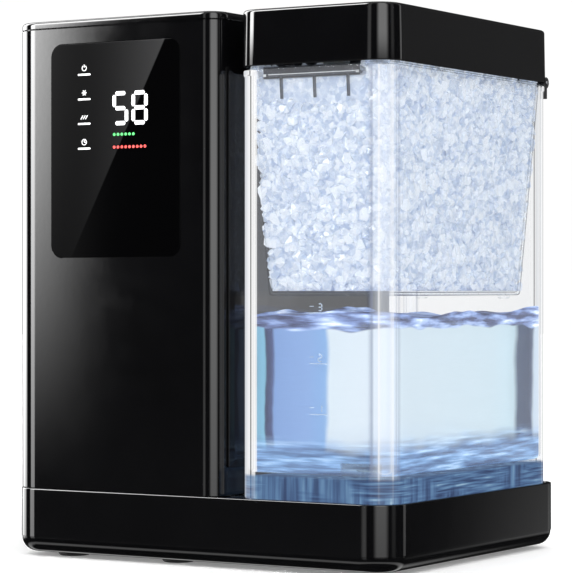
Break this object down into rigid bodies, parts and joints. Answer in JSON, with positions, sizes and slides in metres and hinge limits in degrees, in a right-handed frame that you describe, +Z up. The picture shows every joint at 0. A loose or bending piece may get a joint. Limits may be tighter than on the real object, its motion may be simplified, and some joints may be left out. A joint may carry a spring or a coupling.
{
  "type": "ice maker",
  "caption": "Countertop nugget ice maker: black tower with a touch panel beside a clear water tank that holds a lift-out ice basket under a hinged lid.",
  "frame": {"origin": "middle of the footprint on the surface that the feet stand on", "axes": "+Z up, +X to the right as seen from the front, +Y to the back; the control panel faces -Y"},
  "size_m": [0.316, 0.262, 0.386],
  "materials": {
    "gloss_black": "high gloss",
    "matte_black": "fine texture",
    "black_glass": "polished glass front",
    "clear_plastic": "clear polished",
    "smoke_plastic": "smoked clear",
    "rubber": "matte",
    "steel": "brushed",
    "dark_steel": "satin paint",
    "copper": "drawn copper",
    "aluminium": "mill finish",
    "brass": "turned",
    "white_nylon": "natural nylon",
    "foam": "closed-cell foam skin",
    "board_green": "solder mask",
    "silicone": "translucent silicone",
    "grey_plastic": "moulded"
  },
  "bodies": {
    "cabinet": {"base_pan": "gloss_black", "tank_deck": "gloss_black", "tower_shell": "gloss_black", "tower_cap": "gloss_black", "dock_plate": "gloss_black", "rear_panel": "matte_black", "side_vent_grille": "matte_black", "power_inlet": "matte_black", "fan_shroud": "matte_black", "water_pump": "matte_black", "drain_port": "matte_black", "hinge_bracket": "matte_black", "ice_full_sensor": "matte_black", "control_glass": "black_glass", "water_tank": "clear_plastic", "foot_front_left": "rubber", "foot_front_middle": "rubber", "foot_front_right": "rubber", "foot_rear_left": "rubber", "foot_rear_right": "rubber", "compressor_grommet_1": "rubber", "compressor_grommet_2": "rubber", "compressor_grommet_3": "rubber", "tank_outlet_seal": "rubber", "chassis_plate": "steel", "gearbox_cover": "steel", "gear_motor": "steel", "freezing_barrel": "steel", "extruder_head": "steel", "hinge_pin": "steel", "compressor": "dark_steel", "evaporator_coil": "copper", "filter_drier": "copper", "suction_pipe": "copper", "discharge_pipe": "copper", "condenser_outlet_pipe": "copper", "capillary_tube": "copper", "condenser": "aluminium", "lower_bearing": "brass", "ice_chute": "white_nylon", "insulation_sleeve": "foam", "control_board": "board_green", "power_board": "board_green", "suction_hose": "silicone", "supply_hose": "silicone", "drain_hose": "silicone", "display_module": "grey_plastic", "fan_motor": "grey_plastic", "gearbox_housing": "grey_plastic", "tank_filter": "grey_plastic"},
    "lid": {"lid": "gloss_black"},
    "basket": {"ice_basket": "clear_plastic", "basket_grip": "smoke_plastic"},
    "fan": {"fan_rotor": "matte_black"},
    "auger": {"auger": "steel", "auger_gear": "white_nylon", "ice_breaker": "white_nylon"},
    "pinion": {"motor_pinion": "steel"},
    "impeller": {"pump_impeller": "white_nylon"},
    "drain_cap": {"drain_cap": "rubber"}
  },
  "joints": [
    {"name": "lid_hinge", "type": "hinge", "parent": "cabinet", "child": "lid", "pos_m": [0.0975, 0.1245, 0.3475], "axis": [-1, 0, 0], "range_deg": [0, 95]},
    {"name": "basket_lift", "type": "slide", "parent": "cabinet", "child": "basket", "axis": [0, 0, 1], "range_m": [0, 0.03]},
    {"name": "fan_spin", "type": "hinge", "parent": "cabinet", "child": "fan", "pos_m": [-0.08, 0.092, 0.27], "axis": [0, 1, 0], "continuous": true},
    {"name": "auger_spin", "type": "hinge", "parent": "cabinet", "child": "auger", "pos_m": [-0.03, 0.006, 0.104], "axis": [0, 0, 1], "continuous": true},
    {"name": "pinion_spin", "type": "hinge", "parent": "cabinet", "child": "pinion", "pos_m": [-0.03, -0.03, 0.104], "axis": [0, 0, 1], "continuous": true},
    {"name": "impeller_spin", "type": "hinge", "parent": "cabinet", "child": "impeller", "pos_m": [-0.005, 0.084, 0.056], "axis": [0, 0, 1], "continuous": true},
    {"name": "drain_cap_pull", "type": "slide", "parent": "cabinet", "child": "drain_cap", "axis": [0, 1, 0], "range_m": [0, 0.015]}
  ],
  "couplings": [
    {"joint": "pinion_spin", "follows": "auger_spin", "ratio": -3}
  ]
}
